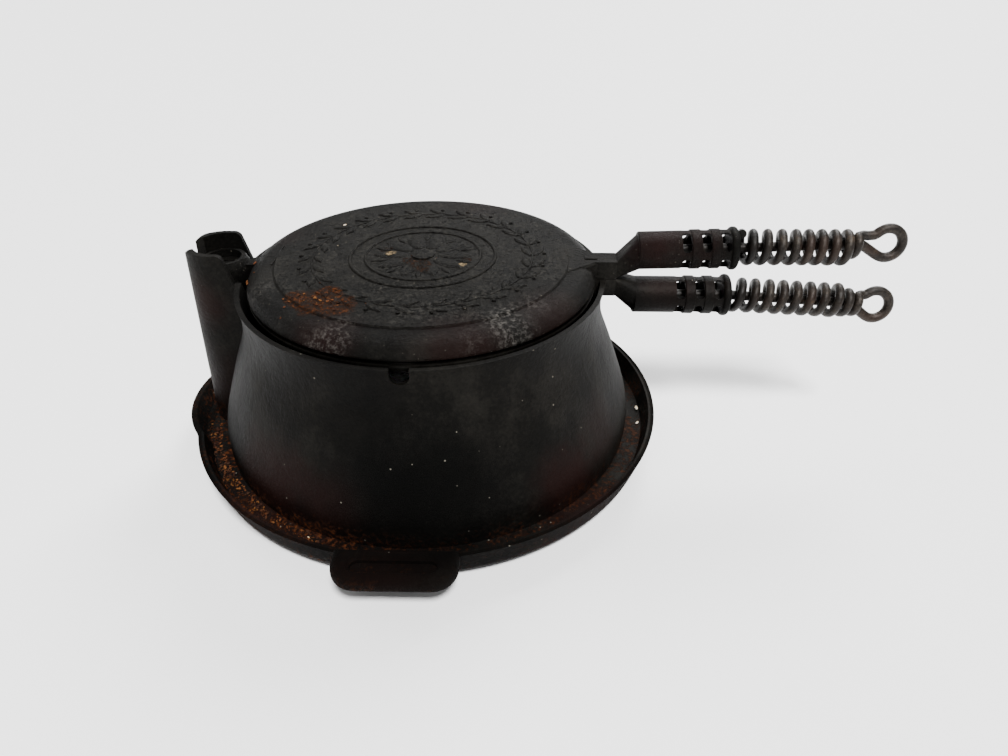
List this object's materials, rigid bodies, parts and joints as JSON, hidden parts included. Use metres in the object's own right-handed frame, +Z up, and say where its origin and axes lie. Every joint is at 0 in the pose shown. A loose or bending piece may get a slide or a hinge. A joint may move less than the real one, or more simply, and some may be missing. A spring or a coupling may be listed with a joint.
{
  "type": "stovetop waffle iron",
  "caption": "Cast-iron stovetop waffle iron: two round hinged pans with coil-wire handles lie in a flared base with a drip trough, notched rim and ball-hinge tower.",
  "frame": {"origin": "centre of the stove-eye ring at its underside, on the surface the iron stands on", "axes": "+Z up, +X from the base towards the handles, +Y away from the side the user stands at"},
  "size_m": [0.4219, 0.312, 0.1369],
  "materials": {
    "base_iron": "seasoned black cast iron, fine sand-cast grain, brown patina towards the foot",
    "pan_iron": "seasoned cast iron, satin from handling, maroon-brown patina and rust on the lid",
    "handle_wire": "heat-browned steel wire, dull"
  },
  "bodies": {
    "base": {"base": "base_iron"},
    "lower_pan": {"lower_pan": "pan_iron", "lower_handle_rod": "handle_wire", "lower_coil_grip": "handle_wire"},
    "upper_pan": {"upper_pan": "pan_iron", "upper_handle_rod": "handle_wire", "upper_coil_grip": "handle_wire"}
  },
  "joints": [
    {"name": "lift_off", "type": "slide", "parent": "base", "child": "lower_pan", "axis": [0, 0, 1], "range_m": [0, 0.12]},
    {"name": "open_lid", "type": "hinge", "parent": "lower_pan", "child": "upper_pan", "pos_m": [-0.1134, 0, 0.1054], "axis": [0, -1, 0], "range_deg": [0, 95]}
  ]
}
